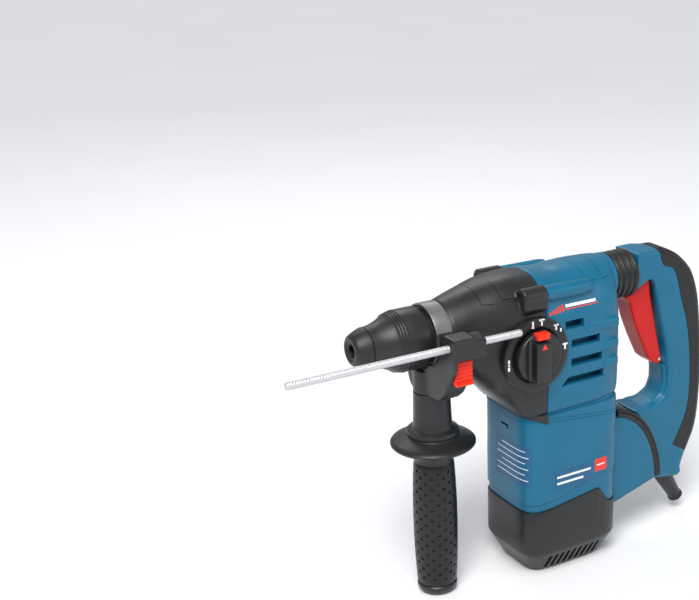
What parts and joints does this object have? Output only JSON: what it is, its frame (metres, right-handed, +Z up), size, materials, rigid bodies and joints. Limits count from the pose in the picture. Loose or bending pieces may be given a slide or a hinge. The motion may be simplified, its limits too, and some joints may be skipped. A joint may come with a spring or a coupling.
{
  "type": "rotary hammer",
  "caption": "Corded rotary hammer with a tapered locking chuck, side handle with depth rod, round mode dial, upright motor and sprung D-shaped rear handle.",
  "frame": {"origin": "on the tool axis at the mouth of the steel tool bore", "axes": "+X from the chuck back to the rear handle, +Z up from the motor cap to the tool axis, -Y towards the mode dial"},
  "size_m": [0.4371, 0.0981, 0.2766],
  "materials": {
    "black_plastic": "fine moulded grain",
    "blue_plastic": "satin moulded",
    "soft_grip": "soft touch",
    "red_plastic": "satin",
    "steel": "ground",
    "dark_steel": "oiled",
    "chrome_steel": "bright knurled",
    "aluminium": "cast",
    "copper": "enamelled wire",
    "rubber": "matt"
  },
  "bodies": {
    "root": {"gear_housing": "black_plastic", "upper_housing": "blue_plastic", "motor_housing": "blue_plastic", "motor_cap": "black_plastic", "gearbox_plate": "aluminium", "gear_shaft_bearings": "steel", "tube_bracket": "aluminium", "tube_bearing": "steel", "spindle_bearing": "steel", "control_electronics": "black_plastic", "absorber_rods": "steel", "housing_screws": "steel", "motor_cap_screws": "steel", "mode_dial_plate": "black_plastic", "stator_core": "dark_steel", "field_windings": "copper", "brush_holders": "copper", "carbon_brushes": "rubber", "motor_bearing_upper": "steel", "motor_bearing_lower": "steel", "fan_baffle": "black_plastic", "handle_bellows": "rubber", "lower_gaiter": "rubber", "handle_pivot_pin": "steel"},
    "spindle": {"tool_holder": "dark_steel", "locking_balls": "steel", "dust_cap": "rubber", "crown_gear": "dark_steel", "sleeve_spring": "steel"},
    "sleeve": {"locking_sleeve": "black_plastic"},
    "impact_bolt": {"impact_bolt": "steel"},
    "striker": {"striker": "steel", "striker_ring": "rubber"},
    "piston": {"piston": "aluminium", "wrist_pin": "steel"},
    "connecting_rod": {"connecting_rod": "aluminium"},
    "crank": {"crank_gear": "dark_steel", "crankshaft": "dark_steel"},
    "bevel_shaft": {"bevel_shaft": "dark_steel"},
    "armature": {"armature_shaft": "steel", "armature_core": "dark_steel", "commutator": "copper", "cooling_fan": "black_plastic"},
    "absorber": {"absorber_weight": "steel"},
    "mode_knob": {"mode_knob": "black_plastic"},
    "knob_button": {"knob_release_button": "red_plastic"},
    "rear_handle": {"handle_body": "blue_plastic", "handle_back_cover": "soft_grip", "handle_screws": "steel", "cord_boot": "rubber", "switch_module": "black_plastic", "trigger_pin": "steel"},
    "trigger": {"trigger": "red_plastic"},
    "aux_clamp": {"clamp_band": "steel", "clamp_body": "black_plastic", "clamp_bolt": "steel"},
    "aux_grip": {"aux_handle": "black_plastic", "aux_grip": "soft_grip"},
    "depth_rod": {"depth_rod": "chrome_steel"},
    "rod_button": {"rod_release_button": "red_plastic"}
  },
  "joints": [
    {"name": "crank_spin", "type": "hinge", "parent": "root", "child": "crank", "pos_m": [0.15875, 0, 0], "axis": [0, 0, 1], "continuous": true},
    {"name": "armature_spin", "type": "hinge", "parent": "root", "child": "armature", "pos_m": [0.19, 0, 0], "axis": [0, 0, 1], "continuous": true},
    {"name": "bevel_spin", "type": "hinge", "parent": "root", "child": "bevel_shaft", "pos_m": [0.12625, 0, 0], "axis": [0, 0, 1], "continuous": true},
    {"name": "spindle_spin", "type": "hinge", "parent": "root", "child": "spindle", "pos_m": [0, 0, 0], "axis": [1, 0, 0], "continuous": true},
    {"name": "sleeve_slide", "type": "slide", "parent": "spindle", "child": "sleeve", "axis": [1, 0, 0], "range_m": [0, 0.004], "stiffness_N_per_m": 2500, "springref_m": -0.004},
    {"name": "impact_bolt_slide", "type": "slide", "parent": "spindle", "child": "impact_bolt", "axis": [1, 0, 0], "range_m": [0, 0.003]},
    {"name": "striker_slide", "type": "slide", "parent": "spindle", "child": "striker", "axis": [1, 0, 0], "range_m": [0, 0.005]},
    {"name": "piston_slide", "type": "slide", "parent": "root", "child": "piston", "axis": [1, 0, 0], "range_m": [0, 0.018]},
    {"name": "connecting_rod_swing", "type": "hinge", "parent": "piston", "child": "connecting_rod", "pos_m": [0.11975, 0, 0], "axis": [0, 0, 1], "range_deg": [-16, 16]},
    {"name": "absorber_slide", "type": "slide", "parent": "root", "child": "absorber", "axis": [1, 0, 0], "range_m": [-0.005, 0.005], "stiffness_N_per_m": 8000},
    {"name": "mode_knob_turn", "type": "hinge", "parent": "root", "child": "mode_knob", "pos_m": [0.1445, -0.044, -0.021], "axis": [0, 1, 0], "range_deg": [-90, 80]},
    {"name": "knob_button_press", "type": "slide", "parent": "mode_knob", "child": "knob_button", "axis": [0, 0, -1], "range_m": [0, 0.002], "stiffness_N_per_m": 500, "springref_m": -0.002},
    {"name": "rear_handle_damping", "type": "hinge", "parent": "root", "child": "rear_handle", "pos_m": [0.268, 0, -0.15], "axis": [0, -1, 0], "range_deg": [0, 1.2], "stiffness_Nm_per_rad": 600, "springref_deg": -1.15},
    {"name": "trigger_pull", "type": "hinge", "parent": "rear_handle", "child": "trigger", "pos_m": [0.301, 0, -0.068], "axis": [0, 1, 0], "range_deg": [0, 5.5], "stiffness_Nm_per_rad": 4, "springref_deg": -5.73},
    {"name": "aux_handle_swivel", "type": "hinge", "parent": "root", "child": "aux_clamp", "pos_m": [0.069, 0, 0], "axis": [-1, 0, 0], "range_deg": [0, 180]},
    {"name": "aux_grip_twist", "type": "hinge", "parent": "aux_clamp", "child": "aux_grip", "pos_m": [0.069, 0, -0.15], "axis": [0, 0, 1], "range_deg": [0, 360]},
    {"name": "depth_rod_slide", "type": "slide", "parent": "aux_clamp", "child": "depth_rod", "axis": [1, 0, 0], "range_m": [-0.06, 0.004]},
    {"name": "rod_button_press", "type": "slide", "parent": "aux_clamp", "child": "rod_button", "axis": [0, 1, 0], "range_m": [0, 0.0015], "stiffness_N_per_m": 900, "springref_m": -0.002}
  ],
  "couplings": [
    {"joint": "armature_spin", "follows": "crank_spin", "ratio": -4},
    {"joint": "bevel_spin", "follows": "crank_spin", "ratio": -3.3333},
    {"joint": "spindle_spin", "follows": "crank_spin", "ratio": 0.92593}
  ]
}
